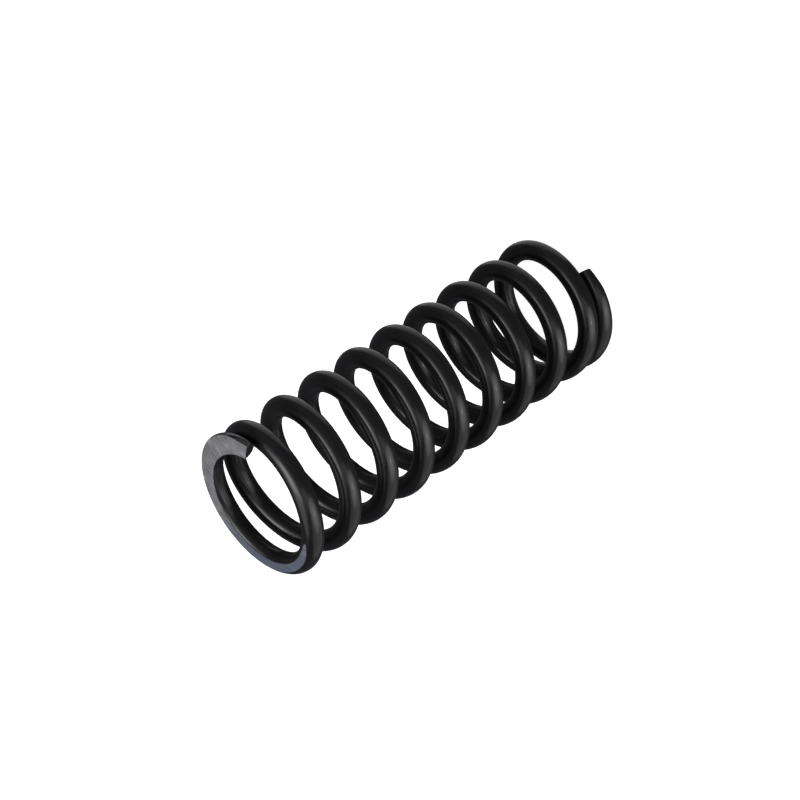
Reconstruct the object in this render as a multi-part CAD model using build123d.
from build123d import *
import os
from math import atan, ceil, cos, pi

# A compression coil spring for a coil-over suspension strut: one round steel bar wound left-handed,
# with both ends closed and ground flat. It stands on +Z, with its origin at the centre of the lower seat.
# The bar is divided into its two end coils and quarter turns of the coils between them, so that the
# stretches can close up as the spring is pressed. Every cut is an upright plane through the spring's axis,
# so neighbouring stretches stay face to face while one slides down past the other.

# Driving dimensions in millimetres. Places along the bar are counted in turns from its lower tip.
WIRE = 12.0  # diameter of the bar
INNER_DIAMETER = 63.5  # the 2.5 inch coil-over seat
TOTAL_TURNS = 9.9
PITCH = 28.3  # rise per turn of the open coils
END_PITCH = 2.6  # rise per turn where the closed ends lie almost level
TIP_TURNS = 0.373  # the stretch from each tip over which the full pitch falls to the end pitch
CLOSED_TURNS = 0.638  # where each closed end stops, counted from its tip
RAMP_TURNS = 0.25  # the stretch over which the end pitch grows to the full pitch again
TIP_THICKNESS = 5.0  # what grinding leaves of the bar at each tip
UPPER_TIP_SKEW = 17.5  # degrees that the upper tip is cut off askew, with its outer corner the longer one
LOWER_TIP_SKEW = 0
END_COIL_TURNS = 1.325  # each end coil, which moves as one piece
STRETCHES_PER_TURN = 4  # of the coils between the end coils
SECTION_SPACING = 1 / 24  # turns between the sections that shape the bar, at most

WIRE_RADIUS = WIRE / 2
MEAN_RADIUS = (INNER_DIAMETER + WIRE) / 2
RAMP_END = CLOSED_TURNS + RAMP_TURNS
UPPER_RAMP_START = TOTAL_TURNS - RAMP_END
TIP_OVERRUN = 0.02  # turns by which a bar reaches past its tip before it is cut off
TIP_CUT_DEPTH = 5.5  # deep enough to cut the tip through, and clear of the turn under it
LOWER_TIP_ANGLE = 360 * TOTAL_TURNS  # the upper tip is at angle 0, on the +X side


def eased(x):
    """A smooth step from 0 at x = 0 to 1 at x = 1."""
    x = min(max(x, 0), 1)
    return x * x * (3 - 2 * x)


def eased_area(x):
    """The area under the smooth step up to x."""
    return x - 0.5 if x > 1 else max(x, 0) ** 3 * (1 - x / 2)


def tip_share(turns):
    """How much of the full pitch a place near a tip still has, at so many turns from that tip."""
    return min(max(1 - turns / TIP_TURNS, 0), 1)


def tip_rise(turns):
    """The area under tip_share up to so many turns from that tip."""
    return min(turns, TIP_TURNS) - min(turns, TIP_TURNS) ** 2 / (2 * TIP_TURNS)


def pitch_at(turns):
    """The bar's rise per turn."""
    open_share = eased((turns - CLOSED_TURNS) / RAMP_TURNS) - eased((turns - UPPER_RAMP_START) / RAMP_TURNS)
    tips_share = tip_share(turns) + tip_share(TOTAL_TURNS - turns)
    return END_PITCH + (PITCH - END_PITCH) * (open_share + tips_share)


def rise_at(turns):
    """How far the bar's centre line has risen since the lower tip."""
    lower_ramp = eased_area((turns - CLOSED_TURNS) / RAMP_TURNS)
    upper_ramp = eased_area((turns - UPPER_RAMP_START) / RAMP_TURNS)
    tips = tip_rise(turns) + tip_rise(TOTAL_TURNS) - tip_rise(TOTAL_TURNS - turns)
    return END_PITCH * turns + (PITCH - END_PITCH) * (RAMP_TURNS * (lower_ramp - upper_ramp) + tips)


TIP_HEIGHT = TIP_THICKNESS - WIRE_RADIUS  # the tip's centre line against the ground face, negative below it
FREE_LENGTH = rise_at(TOTAL_TURNS) + 2 * TIP_HEIGHT


def section(turns):
    """The bar's outline where an upright plane through the spring's axis cuts it: the bar climbs through
    that plane at a slant, so the outline is a little taller than it is wide."""
    outward = Vector(1, 0, 0).rotate(Axis.Z, LOWER_TIP_ANGLE - 360 * turns)
    centre = outward * MEAN_RADIUS + Vector(0, 0, TIP_HEIGHT + rise_at(turns))
    slant = atan(pitch_at(turns) / (2 * pi * MEAN_RADIUS))
    upright_plane = Plane(origin=centre, x_dir=outward, z_dir=outward.rotate(Axis.Z, -90))
    return upright_plane * Ellipse(WIRE_RADIUS, WIRE_RADIUS / cos(slant))


def bar(start, end):
    """The bar from one place along it to another, cut square to the turn at both."""
    steps = ceil((end - start) / SECTION_SPACING)
    return loft([section(start + (end - start) * step / steps) for step in range(steps + 1)])


def end_coil(tip_skew):
    """An end coil where the upper one lies, ground flat at the free length and cut off at its tip."""
    coil = bar(TOTAL_TURNS - END_COIL_TURNS, TOTAL_TURNS + TIP_OVERRUN)
    ground = split(coil, bisect_by=Plane.XY.offset(FREE_LENGTH), keep=Keep.BOTTOM)
    past_the_tip = Box(2 * WIRE, WIRE, 2 * TIP_CUT_DEPTH, align=(Align.CENTER, Align.MAX, Align.CENTER))
    return ground - Pos(MEAN_RADIUS, 0, FREE_LENGTH) * Rot(0, 0, -tip_skew) * past_the_tip


def turned_over(coil):
    """A coil of the upper end brought to the lower seat, about the level line half way between the tips."""
    level_line = Axis((0, 0, FREE_LENGTH / 2), Vector(1, 0, 0).rotate(Axis.Z, LOWER_TIP_ANGLE / 2))
    return coil.rotate(level_line, 180)


def active_stretches():
    """Each quarter turn of the open coils under its name, counted upwards from the lower end coil."""
    stretches = {}
    count = round((TOTAL_TURNS - 2 * END_COIL_TURNS) * STRETCHES_PER_TURN)
    for number in range(count):
        coil, quarter = divmod(number, STRETCHES_PER_TURN)
        start = END_COIL_TURNS + number / STRETCHES_PER_TURN
        stretches[f"active_coil_{coil + 1}_quarter_{quarter + 1}"] = bar(start, start + 1 / STRETCHES_PER_TURN)
    return stretches


nodes = {
    "lower_end_coil": turned_over(end_coil(LOWER_TIP_SKEW)),
    **active_stretches(),
    "upper_end_coil": end_coil(UPPER_TIP_SKEW),
}

os.makedirs("parts", exist_ok=True)
for name, shape in nodes.items():
    export_step(shape, f"parts/{name}.step")

print(f"free length {FREE_LENGTH:.2f} mm, outer diameter {INNER_DIAMETER + 2 * WIRE:.1f} mm")
print(f"steel volume {sum(shape.volume for shape in nodes.values()):.0f} mm3")
